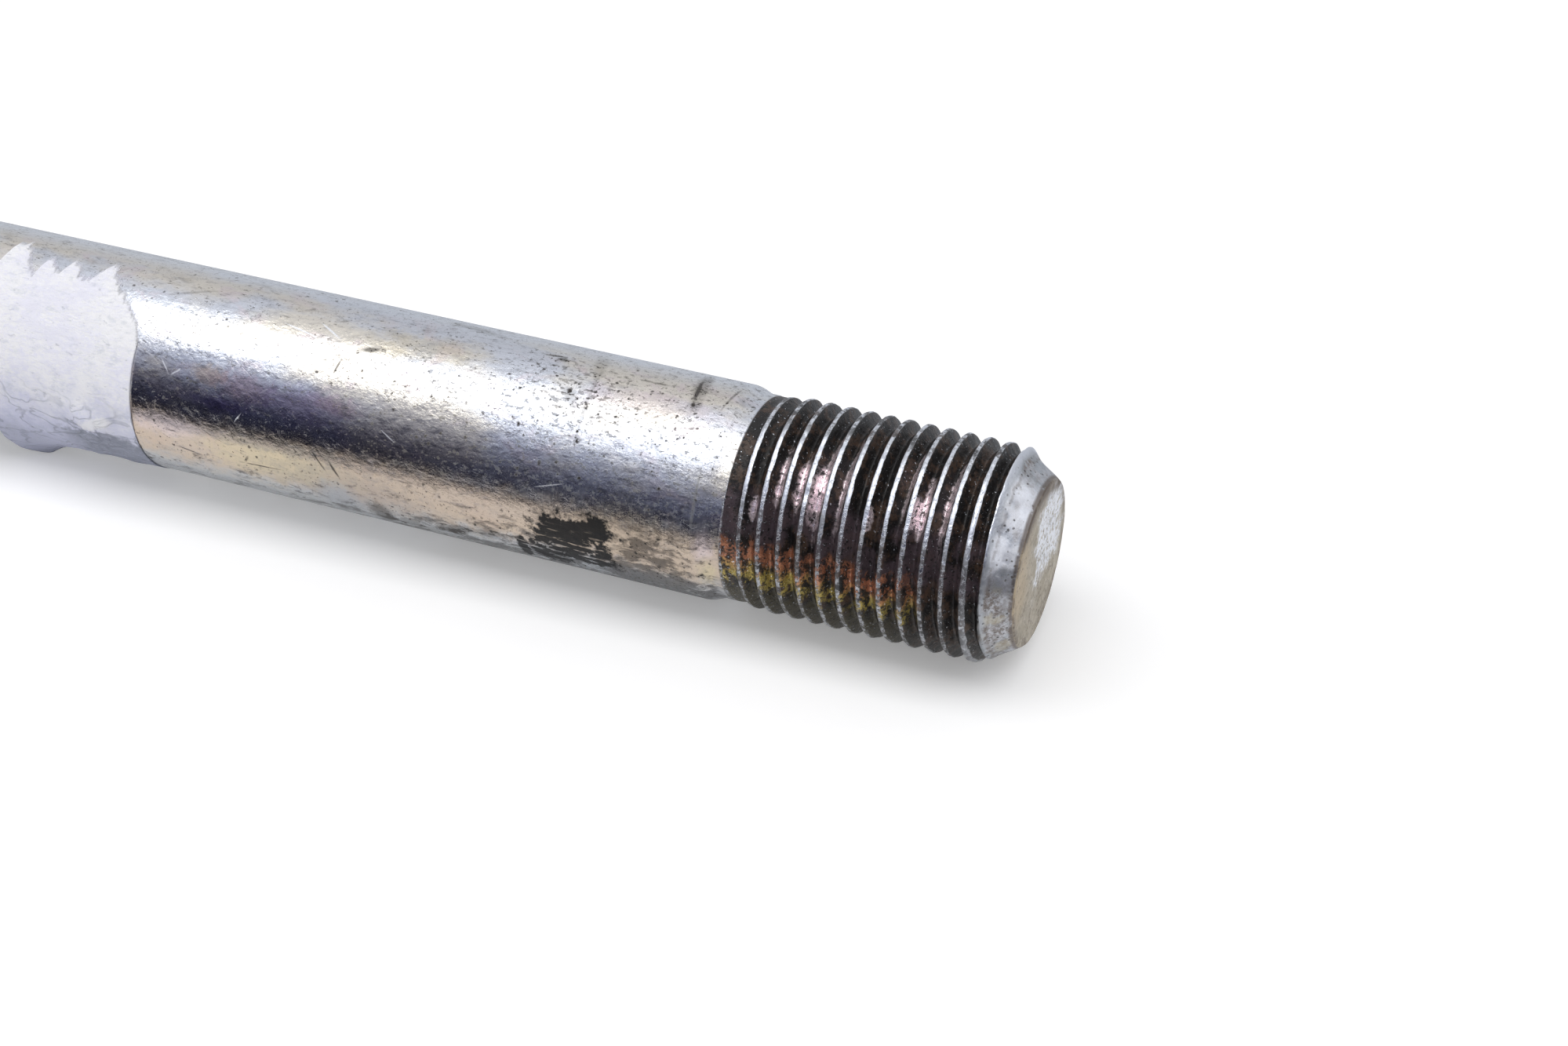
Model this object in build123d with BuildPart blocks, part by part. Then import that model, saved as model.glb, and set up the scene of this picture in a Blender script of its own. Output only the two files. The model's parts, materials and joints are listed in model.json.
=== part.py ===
"""Swingarm pivot bolt, zinc plated, with the remains of a torn paper label on its shank.

The bolt is one forged and rolled piece: hexagon head, plain shank, tapered shoulder, neck,
rolled M16 x 1.5 thread and chamfered point. The label is a thin patch of paper stuck to it.

Frame, in millimetres: the bolt's axis is X, and +X points out of the threaded end. The origin
is the centre of the head's bearing face. One flat of the hexagon faces down, and the bolt lies
on it. An angle round the shank is counted from +Y towards +Z.
"""

import os
from math import cos, radians, sqrt, tan

from build123d import *

# ------------------------------------------------ bolt, driving sizes
shank_diameter = 16.0
length_under_head = 265.0

head_across_flats = 22.0
head_height = 10.0
head_chamfer_angle = 30.0  # of the corners, against the head's end face
head_chamfer_inset = 0.4  # how far the chamfer's circle lies inside the flats
washer_face_inset = 0.5  # its edge lies inside the flats
washer_face_height = 0.6
under_head_fillet = 0.8

thread_diameter = shank_diameter  # nominal: the thread and the shank are one standard size
thread_pitch = 1.5
thread_angle = 60.0  # between the two flanks of a groove
crest_undersize = 0.2  # how far the rolled crests stay under the nominal diameter
threaded_length = 20.8  # from the point back to the first full crest
blank_oversize = 0.174  # the bar that the thread is rolled on, over the pitch diameter
neck_length = 1.3  # where that bar shows
shoulder_angle = 21.8  # of the taper from the shank down to the neck, against the axis
shoulder_round = 1.8
point_undersize = 2.16  # the end face's diameter, under the root diameter
point_length = 2.5

# ------------------------------------------------ label, driving sizes
label_to_point = 69.3  # from the bolt's point back to the label's clean edge
label_width = 24.0  # along the shank
label_thickness = 0.15
label_lower_angle = 245.0  # where it ends, on the underside of the shank
# The torn upper edge, as pairs: share of the label's width, and angle round the shank.
torn_edge = [
    (0.00, 104),
    (0.10, 92),
    (0.17, 108),
    (0.27, 97),
    (0.33, 106),
    (0.42, 86),
    (0.55, 108),
    (0.57, 95),
    (0.65, 104),
    (0.66, 93),
    (0.71, 103),
    (0.78, 92),
    (0.85, 104),
    (0.93, 108),
    (1.00, 122),
]

# ------------------------------------------------ sizes that follow from these
# ISO metric proportions of an external thread, from the height of its sharp triangle
flank_slope = tan(radians(thread_angle / 2))
sharp_height = thread_pitch / 2 / flank_slope
crest_radius = (thread_diameter - crest_undersize) / 2
pitch_radius = thread_diameter / 2 - sharp_height * 3 / 8
root_radius = thread_diameter / 2 - sharp_height * 17 / 24

shank_radius = shank_diameter / 2
flat_radius = head_across_flats / 2
corner_radius = head_across_flats / sqrt(3)
washer_face_radius = flat_radius - washer_face_inset
neck_radius = pitch_radius + blank_oversize / 2
point_radius = root_radius - point_undersize / 2

tip_x = length_under_head
first_crest_x = tip_x - threaded_length
neck_start_x = first_crest_x - neck_length
shoulder_length = (shank_radius - neck_radius) / tan(radians(shoulder_angle))
shoulder_start_x = neck_start_x - shoulder_length


def groove_half_width(radius):
    """Half the width of the thread's groove at a distance from the bolt's axis."""
    return thread_pitch / 4 + (radius - pitch_radius) * flank_slope


# ------------------------------------------------ the thread's groove, as a cutter
# It reaches out past the crests, but stays narrower than the pitch so its turns stay apart.
cutter_radius = pitch_radius + sharp_height * 0.46
groove_start_x = first_crest_x + thread_pitch * 0.95
groove_end_x = tip_x + thread_pitch / 2
blank_end_x = groove_end_x + thread_pitch * 1.5  # the point is turned after the thread is cut

with BuildPart() as thread_groove:
    with BuildLine() as helix_line:
        Helix(
            pitch=thread_pitch,
            height=groove_end_x - groove_start_x,
            radius=pitch_radius,
            center=(groove_start_x, 0, 0),
            direction=(1, 0, 0),
        )
    helix_start = helix_line.line @ 0
    heading = helix_line.line % 0
    along_bolt = Vector(1, 0, 0) - heading * heading.X
    with BuildSketch(Plane(origin=helix_start, x_dir=along_bolt, z_dir=heading)) as groove_section:
        with BuildLine():
            Polyline(
                (-groove_half_width(root_radius), root_radius - pitch_radius),
                (groove_half_width(root_radius), root_radius - pitch_radius),
                (groove_half_width(cutter_radius), cutter_radius - pitch_radius),
                (-groove_half_width(cutter_radius), cutter_radius - pitch_radius),
                close=True,
            )
        make_face()
    sweep(sections=groove_section.sketch, path=helix_line.line, is_frenet=True)
    # At its inner end the groove leaves the metal in a straight line, along its tangent.
    runout_length = sqrt((crest_radius + crest_undersize) ** 2 - root_radius**2)
    extrude(groove_section.sketch, amount=-runout_length)

# ------------------------------------------------ pivot bolt
with BuildPart() as pivot_bolt:
    # Hexagon head, with the corners of its outer face turned off at a slope.
    with BuildSketch(Plane.YZ.offset(-head_height)):
        RegularPolygon(radius=flat_radius, side_count=6, major_radius=False)
    extrude(amount=head_height - washer_face_height)
    chamfer_circle_radius = flat_radius - head_chamfer_inset
    chamfer_depth = (corner_radius - chamfer_circle_radius) * tan(radians(head_chamfer_angle))
    with BuildSketch(Plane.XZ):
        with BuildLine():
            Polyline(
                (-head_height, 0),
                (-head_height, chamfer_circle_radius),
                (-head_height + chamfer_depth, corner_radius),
                (0, corner_radius),
                (0, 0),
                close=True,
            )
        make_face()
    revolve(axis=Axis.X, mode=Mode.INTERSECT)

    # Washer face, shank, shoulder, neck and thread blank are one turned profile.
    with BuildSketch(Plane.XZ) as turned_profile:
        with BuildLine():
            Polyline(
                (-head_height / 2, 0),
                (-head_height / 2, washer_face_radius),
                (0, washer_face_radius),
                (0, shank_radius),
                (shoulder_start_x, shank_radius),
                (neck_start_x, neck_radius),
                (first_crest_x - thread_pitch / 4, neck_radius),
                (first_crest_x, crest_radius),
                (blank_end_x, crest_radius),
                (blank_end_x, 0),
                close=True,
            )
        make_face()
        under_head_corner = turned_profile.vertices().sort_by_distance((0, 0, shank_radius))[0]
        fillet(under_head_corner, min(under_head_fillet, (washer_face_radius - shank_radius) * 0.9))
        shoulder_corner = turned_profile.vertices().sort_by_distance((shoulder_start_x, 0, shank_radius))[0]
        fillet(shoulder_corner, shoulder_round)
    revolve(axis=Axis.X)
    add(thread_groove.part, mode=Mode.SUBTRACT)

    # The point: everything past the chamfer's cone and the end face comes off the blank.
    waste_radius = crest_radius + 1
    chamfer_slope = (crest_radius - point_radius) / point_length
    with BuildSketch(Plane.XZ):
        with BuildLine():
            Polyline(
                (tip_x, 0),
                (tip_x, point_radius),
                (tip_x - (waste_radius - point_radius) / chamfer_slope, waste_radius),
                (blank_end_x + 1, waste_radius),
                (blank_end_x + 1, 0),
                close=True,
            )
        make_face()
    revolve(axis=Axis.X, mode=Mode.SUBTRACT)

pivot_bolt.part.label = "pivot_bolt"

# ------------------------------------------------ torn paper label
label_end_x = tip_x - label_to_point
label_start_x = label_end_x - label_width
label_radius = shank_radius + label_thickness
trim_reach = label_radius + 1  # past the paper on every side


def across_bolt(angle):
    """The Y of a point of the shank's surface at an angle round it."""
    return shank_radius * cos(radians(angle))


# The paper keeps what lies inside this space: cut down from above to the torn edge, and up
# from below to the lower edge.
with BuildPart() as label_space:
    with BuildSketch() as upper_outline:
        with BuildLine():
            torn_points = [
                (label_start_x + share * label_width, across_bolt(angle)) for share, angle in torn_edge
            ]
            Polyline(
                (label_start_x, -trim_reach),
                *torn_points,
                (label_end_x, -trim_reach),
                close=True,
            )
        make_face()
    extrude(amount=trim_reach)
    with BuildSketch() as lower_outline:
        with BuildLine():
            Polyline(
                (label_start_x, -trim_reach),
                (label_start_x, across_bolt(label_lower_angle)),
                (label_end_x, across_bolt(label_lower_angle)),
                (label_end_x, -trim_reach),
                close=True,
            )
        make_face()
    extrude(amount=-trim_reach)

with BuildPart() as torn_paper_label:
    with BuildSketch(Plane.YZ.offset(label_start_x)):
        Circle(label_radius)
        Circle(shank_radius, mode=Mode.SUBTRACT)
    extrude(amount=label_width)
    add(label_space.part, mode=Mode.INTERSECT)

torn_paper_label.part.label = "torn_paper_label"

# ------------------------------------------------ files
os.makedirs("parts", exist_ok=True)
export_step(pivot_bolt.part, "parts/pivot_bolt.step")
export_step(torn_paper_label.part, "parts/torn_paper_label.step")
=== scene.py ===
import json
import math
from types import SimpleNamespace

import bpy
import numpy as np
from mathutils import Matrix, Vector


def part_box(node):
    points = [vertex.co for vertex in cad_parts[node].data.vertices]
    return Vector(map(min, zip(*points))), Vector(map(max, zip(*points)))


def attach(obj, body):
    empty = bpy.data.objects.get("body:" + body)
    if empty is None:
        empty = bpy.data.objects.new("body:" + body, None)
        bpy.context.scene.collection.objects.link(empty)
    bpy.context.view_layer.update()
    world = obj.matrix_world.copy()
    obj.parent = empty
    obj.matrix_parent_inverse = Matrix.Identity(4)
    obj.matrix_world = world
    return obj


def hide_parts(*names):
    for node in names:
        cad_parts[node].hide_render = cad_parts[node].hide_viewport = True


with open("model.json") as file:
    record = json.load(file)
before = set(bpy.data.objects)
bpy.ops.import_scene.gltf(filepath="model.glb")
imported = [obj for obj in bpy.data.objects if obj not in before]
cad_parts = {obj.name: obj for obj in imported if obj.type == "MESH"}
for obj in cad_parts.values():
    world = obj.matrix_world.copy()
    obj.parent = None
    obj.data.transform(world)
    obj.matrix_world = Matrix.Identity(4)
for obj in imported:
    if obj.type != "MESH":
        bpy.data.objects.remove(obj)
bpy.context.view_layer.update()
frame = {"nodes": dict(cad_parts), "record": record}
print("frame loaded:", sorted(frame["nodes"]))

mm = 0.001               # sizes are written in millimetres, and meshes are made in metres
boltLow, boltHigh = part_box("pivot_bolt")
labelLow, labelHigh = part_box("torn_paper_label")
tipX = boltHigh.x / mm
headX = boltLow.x / mm
mounts = {mount["name"]: mount for mount in frame["record"]["mounts"]}
shankRadius = mounts["shank"]["dims"]["r_mm"]
frontAngle = 142.8       # the side that faces the camera: degrees round the bolt, from +Y through +Z


def smoothStep(low, high, value):
    share = np.clip((value - low) / (high - low), 0, 1)
    return share * share * (3 - 2 * share)


# Half of (a + b + the root of (a - b) squared plus blend squared): the larger of the two, with
# a round corner where they cross.
def softMax(a, b, blend):
    return (a + b + np.sqrt((a - b) ** 2 + blend ** 2)) / 2


def softMin(a, b, blend):
    return -softMax(-a, -b, blend)


# Random values on a lattice, and between them the four round each place, weighted by 3t^2 - 2t^3.
# around and along run from 0 to 1, and the lattice closes on itself in around.
def latticeNoise(around, along, cellsAround, cellsAlong, seed):
    values = np.random.default_rng(seed).random((cellsAlong + 2, cellsAround))
    u, v = around * cellsAround, np.clip(along, 0, 1) * cellsAlong
    column, row = np.floor(u).astype(int), np.floor(v).astype(int)
    s, t = u - column, v - row
    s, t = s * s * (3 - 2 * s), t * t * (3 - 2 * t)
    left, right = column % cellsAround, (column + 1) % cellsAround
    low = values[row, left] * (1 - s) + values[row, right] * s
    high = values[row + 1, left] * (1 - s) + values[row + 1, right] * s
    return low * (1 - t) + high * t


# Faces between the rows of a grid that closes on itself in its columns
def gridFaces(rows, columns):
    start = np.arange(rows - 1)[:, None] * columns
    here = start + np.arange(columns)
    beside = start + (np.arange(columns) + 1) % columns
    return np.stack([here, beside, beside + columns, here + columns], -1).reshape(-1, 4)


# Makes a mesh object at the origin from points in millimetres and a list of faces. Values are
# named numbers that each point keeps for its finish.
def makePiece(name, points, faces, nodeName, values=None):
    mesh = bpy.data.meshes.new(name)
    mesh.from_pydata((points * mm).tolist(), [], faces)
    mesh.polygons.foreach_set("use_smooth", np.ones(len(mesh.polygons), bool))
    for valueName, numbers in (values or {}).items():
        attribute = mesh.attributes.new(valueName, "FLOAT", "POINT")
        attribute.data.foreach_set("value", numbers.ravel().astype("f"))
    mesh.update()
    piece = bpy.data.objects.new(name, mesh)
    bpy.context.scene.collection.objects.link(piece)
    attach(piece, "root")
    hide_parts(nodeName)
    print("made", name, "with", sum(len(face) - 2 for face in faces), "triangles")
    return piece


# The bolt, in millimetres. Distances from the point are counted back towards the head.
boltShape = {
    "columns": 240,
    "acrossFlats": 22.0,
    "chamferCircle": 21.2,
    "washerFace": 21.0,
    "washerHeight": 0.6,
    "headFillet": 0.8,
    "headRounding": 0.15,
    "shoulderFromPoint": 23.1,
    "neckFromPoint": 22.1,
    "neckRadius": 7.6,
    "crestRadius": 7.9,
    "rootRadius": 7.0,
    "pitch": 1.5,
    "crestFromPoint": 3.625,     # a crest's place right on top of the bolt
    "crestHalfWidth": 0.085,     # as a share of the pitch
    "crestRounding": 0.10,
    "rootRounding": 0.34,
    "threadFromPoint": 21.4,
    "crestRise": (21.3, 18.4),   # where the crests start and reach their full height
    "rootSink": (21.25, 18.2),   # where the roots start and reach their full depth
    "rowsPerPitch": 20,
    "pointRadius": 6.0,
    "pointSlope": 0.76,          # radius gained for each millimetre back from the end
    "pointHollow": 0.17,
    "wearLength": 26,            # the length of bolt that the wear's noises are laid over
    "nicks": 70,
    "nickBack": (2.2, 20),
    "nickLong": (0.15, 0.6),
    "nickWide": (0.12, 0.3),
    "nickDeep": (0.03, 0.13),
    "seed": 11,
}


# Radius of a hexagon at each angle round the bolt: half across flats over the cosine of the angle
# to the nearest flat's middle. The corners are a little round.
def hexagonRadius(angle):
    toFlat = np.degrees(angle) % 60 - 30
    half = boltShape["acrossFlats"] / 2
    radius = half / np.cos(np.radians(toFlat))
    corner = half / math.cos(math.radians(30)) - 0.12
    return softMin(radius, corner, 0.16)


# A thread as a height over the bolt's axis. The place within one pitch is x less the helix's own
# advance; the flanks are straight lines at 30 degrees, cut off at the crest and at the root with
# round corners, and the chamfer's cone cuts across all of it at the point.
def threadRadius(x, angle):
    shape = boltShape
    back = tipX - x
    turn = (-back + shape["crestFromPoint"]) / shape["pitch"] - (angle / (2 * math.pi) - 0.25)
    away = np.abs(turn - np.round(turn))
    around, along = angle / (2 * math.pi) % 1, back / shape["wearLength"]
    wear = latticeNoise(around, along, 60, 34, shape["seed"]) - 0.5
    fine = latticeNoise(around, along, 220, 120, shape["seed"] + 1) - 0.5
    rise = smoothStep(*shape["crestRise"], back)
    crest = shape["neckRadius"] + (shape["crestRadius"] - shape["neckRadius"]) * rise
    lastCrest = smoothStep(4.2, 2.6, back)
    crest = crest + (0.05 + 0.10 * lastCrest) * wear * rise + 0.02 * fine * rise
    sink = smoothStep(*shape["rootSink"], back)
    root = shape["neckRadius"] - (shape["neckRadius"] - shape["rootRadius"]) * sink
    root = root + 0.06 * wear * sink + 0.05 * fine * sink
    flank = crest + (shape["crestHalfWidth"] - away) * shape["pitch"] * math.sqrt(3)
    radius = softMin(crest, softMax(root, flank, shape["rootRounding"]), shape["crestRounding"])

    # Nicks: small round dents along the crests, deepest at their middle.
    rng = np.random.default_rng(shape["seed"] + 2)
    for nick in range(shape["nicks"]):
        nickAngle = rng.uniform(0, 2 * math.pi)
        nickBack = snapToCrest(rng.uniform(*shape["nickBack"]), nickAngle)
        long, wide, deep = (rng.uniform(*shape[size]) for size in ("nickLong", "nickWide", "nickDeep"))
        gap = (angle - nickAngle + math.pi) % (2 * math.pi) - math.pi
        reach = (gap * shape["crestRadius"] / long) ** 2 + ((back - nickBack) / wide) ** 2
        radius = radius - deep * np.exp(-reach)

    edge = pointRadius(angle)
    lump = 0.10 * (latticeNoise(around, along, 26, 18, shape["seed"] + 3) - 0.5)
    hollow = shape["pointHollow"] * np.sin(math.pi * np.clip(back / 2.3, 0, 1) ** 1.7)
    cone = edge + shape["pointSlope"] * back - hollow + lump * smoothStep(0, 0.6, back)
    return softMin(radius, cone, 0.05)


# The nearest crest to a place along the bolt, at an angle round it.
def snapToCrest(back, angle):
    shape = boltShape
    advance = shape["pitch"] * (angle / (2 * math.pi) - 0.25)
    turn = (-back + shape["crestFromPoint"] - advance) / shape["pitch"]
    return shape["crestFromPoint"] - advance - round(turn) * shape["pitch"]


# Outline of the end face: a circle with slow and fast wobbles.
def pointRadius(angle):
    around = angle / (2 * math.pi) % 1
    slow = latticeNoise(around, 0 * around, 9, 1, boltShape["seed"] + 5) - 0.5
    fast = latticeNoise(around, 0 * around, 34, 1, boltShape["seed"] + 6) - 0.5
    return boltShape["pointRadius"] + 0.16 * slow + 0.10 * fast


# A profile in x and radius from corner to corner. Each corner is a curve of three points: one on
# the side before it, the corner, one on the side after it; and each side is cut in equal parts.
def roundedProfile(corners, columns):
    xs = [np.broadcast_to(np.asarray(corner[0], float), (columns,)) for corner in corners]
    rs = [np.broadcast_to(np.asarray(corner[1], float), (columns,)) for corner in corners]
    sides = [np.hypot(xs[i + 1] - xs[i], rs[i + 1] - rs[i]) for i in range(len(corners) - 1)]
    rowsX, rowsR = [], []
    for i, (_, _, rounding, curveRows, sideRows) in enumerate(corners):
        inner = 0 < i < len(corners) - 1
        if inner and rounding:
            before = np.minimum(rounding, 0.45 * sides[i - 1]) / sides[i - 1]
            after = np.minimum(rounding, 0.45 * sides[i]) / sides[i]
            startX, startR = xs[i] + (xs[i - 1] - xs[i]) * before, rs[i] + (rs[i - 1] - rs[i]) * before
            endX, endR = xs[i] + (xs[i + 1] - xs[i]) * after, rs[i] + (rs[i + 1] - rs[i]) * after
            for t in np.linspace(0, 1, curveRows):
                rowsX.append((1 - t) ** 2 * startX + 2 * t * (1 - t) * xs[i] + t * t * endX)
                rowsR.append((1 - t) ** 2 * startR + 2 * t * (1 - t) * rs[i] + t * t * endR)
        else:
            rowsX.append(xs[i])
            rowsR.append(rs[i])
        if i < len(corners) - 1:
            nextShare = corners[i + 1][2] / sides[i] if 0 < i + 1 < len(corners) - 1 else 0
            stopShare = 1 - np.minimum(nextShare, 0.45)
            stopX = xs[i] + (xs[i + 1] - xs[i]) * stopShare
            stopR = rs[i] + (rs[i + 1] - rs[i]) * stopShare
            fromX, fromR = rowsX[-1], rowsR[-1]
            for t in np.linspace(0, 1, sideRows + 2)[1:-1]:
                rowsX.append(fromX + (stopX - fromX) * t)
                rowsR.append(fromR + (stopR - fromR) * t)
    return rowsX, rowsR


def makeBolt():
    shape = boltShape
    columns = shape["columns"]
    angle = np.arange(columns) * 2 * math.pi / columns
    hexagon = hexagonRadius(angle)
    circle = shape["chamferCircle"] / 2
    chamferX = headX + (hexagon - circle) * math.tan(math.radians(30))
    threadStart = tipX - shape["threadFromPoint"]
    centre = 0.02                     # radius of the small ring round each end's middle point
    corners = [                       # x, radius, rounding, rows in it, rows along the next side
        (headX, centre, 0, 0, 5),
        (headX, circle, 0.2, 4, 0),
        (chamferX, hexagon, shape["headRounding"], 4, 4),
        (-shape["washerHeight"], hexagon, 0.25, 4, 0),
        (-shape["washerHeight"], shape["washerFace"] / 2, 0.06, 3, 0),
        (0, shape["washerFace"] / 2, 0.12, 4, 1),
        (0, shankRadius, shape["headFillet"], 8, 46),
        (tipX - shape["shoulderFromPoint"], shankRadius, 0.40, 9, 1),
        (tipX - shape["neckFromPoint"], shape["neckRadius"], 0.18, 5, 2),
        (threadStart, shape["neckRadius"], 0, 0, 0),
    ]
    rowsX, rowsR = roundedProfile(corners, columns)
    pointStart = 0.12                 # where the end's own rounding begins
    count = int((shape["threadFromPoint"] - pointStart) / shape["pitch"] * shape["rowsPerPitch"])
    threadX = np.linspace(threadStart, tipX - pointStart, count)[1:, None] + 0 * angle[None, :]
    threadR = threadRadius(threadX, angle[None, :] + 0 * threadX)
    rim = pointRadius(angle)
    endCorners = [
        (threadX[-1], threadR[-1], 0, 0, 0),
        (tipX, np.minimum(rim, threadR[-1] - 0.02), 0.14, 5, 0),
        (tipX - 0.03, rim - 0.8, 0.3, 4, 5),
        (tipX - 0.05, centre, 0, 0, 0),
    ]
    endX, endR = roundedProfile(endCorners, columns)
    gridX = np.vstack([np.array(rowsX), threadX, np.array(endX[1:])])
    gridR = np.vstack([np.array(rowsR), threadR, np.array(endR[1:])])

    # The end face was pressed, not cut: it is a little uneven.
    around = np.broadcast_to(angle / (2 * math.pi), gridX.shape)
    onFace = smoothStep(tipX - 0.2, tipX - 0.04, gridX) * (gridR < shape["pointRadius"] - 0.3)
    gridX = gridX - 0.06 * onFace * latticeNoise(around, gridR / 8, 14, 5, shape["seed"] + 8)

    rows = len(gridX)
    points = np.stack([gridX, gridR * np.cos(angle), gridR * np.sin(angle)], -1).reshape(-1, 3)
    poles = np.array([[gridX[0].mean(), 0, 0], [gridX[-1].mean(), 0, 0]])
    first, last = len(points), len(points) + 1
    ring = np.arange(columns)
    following = (ring + 1) % columns
    lastRing = (rows - 1) * columns
    headFan = np.stack([np.full(columns, first), following, ring], -1)
    tipFan = np.stack([np.full(columns, last), lastRing + ring, lastRing + following], -1)
    faces = gridFaces(rows, columns).tolist() + headFan.tolist() + tipFan.tolist()
    points = np.vstack([points, poles])
    return makePiece("zinc_plated_bolt", points, faces, "pivot_bolt")


# The label, in millimetres and in degrees round the bolt. Shares run along the label, from the
# end towards the head to the clean edge towards the thread.
labelShape = {
    "columns": 460,
    "rows": 84,
    "thickness": 0.12,
    "glue": 0.006,
    "tornEdge": [
        (0.00, 106), (0.05, 96), (0.09, 110), (0.16, 100), (0.22, 108), (0.28, 104), (0.36, 113),
        (0.40, 109), (0.408, 97), (0.415, 88), (0.43, 85), (0.45, 86), (0.48, 91), (0.50, 98),
        (0.53, 105), (0.548, 107), (0.552, 98), (0.56, 94), (0.575, 95), (0.59, 100), (0.61, 103),
        (0.63, 101), (0.64, 96), (0.653, 92), (0.675, 95), (0.69, 101), (0.72, 103), (0.748, 101),
        (0.76, 95), (0.768, 91), (0.785, 89), (0.805, 93), (0.82, 98), (0.85, 103), (0.88, 107),
        (0.92, 114), (0.96, 121), (0.98, 127), (1.00, 133),
    ],
    "lowerEdge": [
        (0.00, 224), (0.08, 231), (0.20, 226), (0.32, 222), (0.405, 219), (0.425, 243), (0.50, 249),
        (0.60, 244), (0.72, 250), (0.86, 246), (1.00, 249),
    ],
    "fibres": 4.0,               # how far the torn edge's fibres reach, in degrees
    "crumple": 0.16,             # how far the paper stands off where it is crumpled
    "flakeLift": 0.55,
    "flapLift": 1.25,            # how far the loose corner stands off, 40 degrees past its fold
    "flapFold": 203,
    "seed": 23,
}


def alongOutline(outline, share):
    shares, angles = np.array(outline).T
    return np.interp(share, shares, angles)


# Paper wrapped on the shank. A point of the sheet has a share along the label and one across it,
# from the torn edge to the lower edge, and its angle is the straight mix of those two edges. Its
# radius is the shank's, plus the paper's thickness, plus ripples, plus the lift of a loose corner,
# which grows as a power of the angle past the fold that it hangs from.
def makeLabel():
    shape = labelShape
    columns, rows = shape["columns"], shape["rows"]
    share = np.linspace(0, 1, columns)[:, None]
    across = np.linspace(0, 1, rows)[None, :] ** 1.25
    along = share * 0.999            # short of 1, where the noise would close on itself
    coarse = latticeNoise(along, 0 * share, 60, 1, shape["seed"]) - 0.5
    quick = latticeNoise(along, 0 * share, 190, 1, shape["seed"] + 1) - 0.5
    topAngle = alongOutline(shape["tornEdge"], share) + shape["fibres"] * (coarse + 0.7 * quick)
    lowNoise = latticeNoise(along, 0 * share, 46, 1, shape["seed"] + 2) - 0.5
    lowAngle = alongOutline(shape["lowerEdge"], share) + 3.0 * lowNoise
    angle = topAngle + (lowAngle - topAngle) * across
    x = labelLow.x / mm + share * (labelHigh.x - labelLow.x) / mm + 0 * angle

    around = (angle - 80) / 180      # the label lies between 80 and 260 degrees
    along = along + 0 * angle
    ripple = latticeNoise(along, around, 30, 26, shape["seed"] + 3)
    fineRipple = latticeNoise(along, around, 90, 70, shape["seed"] + 4)
    crumple = latticeNoise(along + 0.2 * around, around, 16, 15, shape["seed"] + 5)
    crumpled = smoothStep(165, 190, angle) * smoothStep(0.98, 0.86, share)
    thinned = thinnedPaper(share, angle)
    featherTop = smoothStep(0, 9, angle - topAngle)
    thickness = shape["thickness"] * (0.25 + 0.75 * featherTop) * (1 - 0.65 * thinned)
    thickness = thickness + (0.03 * ripple + 0.025 * fineRipple) * featherTop
    onFlap = smoothStep(0.70, 0.44, share) * smoothStep(0.40, 0.425, share)
    pastFold = np.clip(angle - shape["flapFold"], 0, None) * onFlap
    lift = shape["flapLift"] * (pastFold / 40) ** 1.6
    lift = lift + shape["flakeLift"] * looseFlake(share, angle)
    lift = lift + shape["crumple"] * crumple ** 2 * crumpled
    under = shankRadius + shape["glue"] + lift
    over = under + thickness
    radius = np.concatenate([over, under[:, ::-1]], 1)
    loopAngle = np.radians(np.concatenate([angle, angle[:, ::-1]], 1))
    loopX = np.concatenate([x, x[:, ::-1]], 1)
    points = np.stack([loopX, radius * np.cos(loopAngle), radius * np.sin(loopAngle)], -1).reshape(-1, 3)

    loop = 2 * rows
    k = np.arange(rows - 1)
    leftCap = np.stack([k, loop - 1 - k, loop - 2 - k, k + 1], -1)
    rightCap = np.stack([k, k + 1, loop - 2 - k, loop - 1 - k], -1) + (columns - 1) * loop
    faces = gridFaces(columns, loop).tolist() + leftCap.tolist() + rightCap.tolist()
    whole = np.concatenate([featherTop, featherTop[:, ::-1]], 1)
    return makePiece("torn_label", points, faces, "torn_paper_label", {"whole": whole})


# Where the top layer of the paper has come away: below a wandering line, near the clean edge.
def thinnedPaper(share, angle):
    line = 199 - 14 * smoothStep(0.80, 0.95, share) + 6 * np.sin(share * 31)
    return smoothStep(-1.2, 1.2, angle - line) * smoothStep(0.70, 0.76, share)


# A small tongue of paper that stands off: a bump along the label times a ramp round it.
def looseFlake(share, angle):
    alongLabel = np.exp(-((share - 0.83) / 0.060) ** 2)
    freeEdge = 191 + 30 * (share - 0.84)
    return alongLabel * smoothStep(-17, -2, angle - freeEdge) * smoothStep(1.4, 0, angle - freeEdge)


bolt = makeBolt()
label = makeLabel()


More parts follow.
